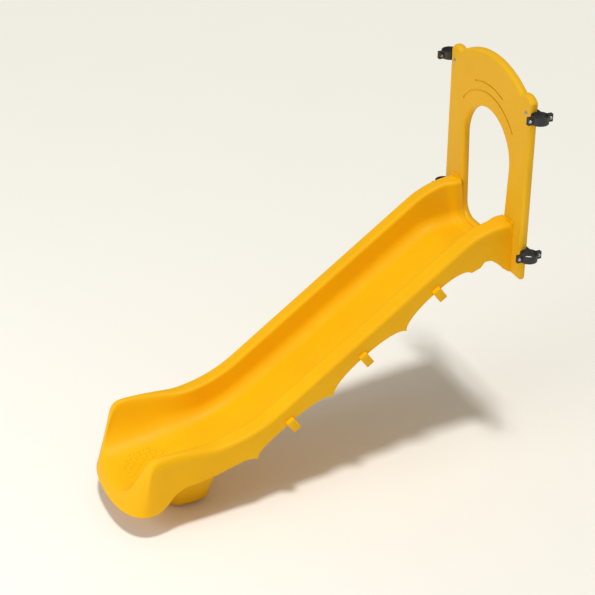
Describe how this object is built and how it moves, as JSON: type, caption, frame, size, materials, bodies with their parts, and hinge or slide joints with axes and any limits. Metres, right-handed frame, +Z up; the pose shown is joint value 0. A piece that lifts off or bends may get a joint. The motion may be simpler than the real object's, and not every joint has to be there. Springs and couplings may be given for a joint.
{
  "type": "straight slide",
  "caption": "Straight moulded slide with an arched hood panel that clamps between two posts and hangs on a play deck, for sliding from the deck to the ground.",
  "frame": {"origin": "middle of the row of deck bolts on the back face of the hood panel, 75 mm below the deck surface and 1297 mm above the ground", "axes": "+Z up, +Y into the deck, -Y down the slide, +X across the slide"},
  "size_m": [1.1048, 2.4972, 2.4371],
  "materials": {
    "slide_plastic": "rotomoulded polyethylene, satin, fine orange-peel grain",
    "hood_plastic": "rotomoulded polyethylene, satin, fine orange-peel grain",
    "clamp_paint": "black powder coat on cast aluminium",
    "bolt_steel": "stainless steel",
    "insert_brass": "turned brass",
    "plate_steel": "galvanised steel"
  },
  "bodies": {
    "root": {"slide_bedway": "slide_plastic", "hood_panel": "hood_plastic", "exit_anchor_plate": "plate_steel", "deck_bolt_sleeves": "bolt_steel", "upper_left_clamp_body": "clamp_paint", "upper_left_clamp_cap": "clamp_paint", "upper_right_clamp_body": "clamp_paint", "upper_right_clamp_cap": "clamp_paint", "lower_left_clamp_body": "clamp_paint", "lower_left_clamp_cap": "clamp_paint", "lower_right_clamp_body": "clamp_paint", "lower_right_clamp_cap": "clamp_paint", "clamp_bolts": "bolt_steel", "clamp_nuts": "bolt_steel", "upper_hood_bolts": "bolt_steel", "upper_hood_washers": "bolt_steel", "upper_hood_nuts": "bolt_steel", "lower_hood_bolts": "bolt_steel", "lower_hood_washers": "bolt_steel", "flange_bolts": "bolt_steel", "flange_washers": "bolt_steel", "anchor_plate_bolts": "bolt_steel", "anchor_plate_washers": "bolt_steel", "lower_hood_inserts": "insert_brass", "flange_inserts": "insert_brass", "anchor_plate_inserts": "insert_brass"}
  },
  "joints": []
}
